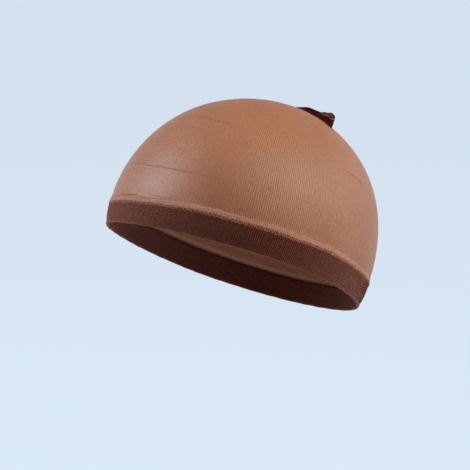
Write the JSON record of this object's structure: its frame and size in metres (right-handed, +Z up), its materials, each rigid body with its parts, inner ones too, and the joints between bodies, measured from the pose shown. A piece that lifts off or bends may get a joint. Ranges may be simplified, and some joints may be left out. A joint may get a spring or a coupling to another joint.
{
  "type": "wig cap",
  "caption": "Stretched knitted wig cap: hollow dome with a folded elastic band at its slanted opening, a raised join above the band and a closing flap at the crown.",
  "frame": {"origin": "centre of the head opening, halfway between the forehead edge and the nape edge of the band", "axes": "millimetres in the solids, metres here; +Z up as worn, -Y towards the wearer's face, +X towards the wearer's left ear; the opening is tilted 27.8 degrees, high at the forehead"},
  "size_m": [0.1562, 0.1861, 0.1455],
  "materials": {
    "crown_knit": "fine stretched nylon knit, slightly sheer, soft low sheen",
    "band_knit": "dense ribbed elastic knit, matte",
    "join_knit": "raised knitted join, matte",
    "flap_knit": "gathered unstretched knit, matte"
  },
  "bodies": {
    "root": {"crown": "crown_knit", "band": "band_knit", "join_ridge": "join_knit", "closing_flap": "flap_knit"}
  },
  "joints": []
}
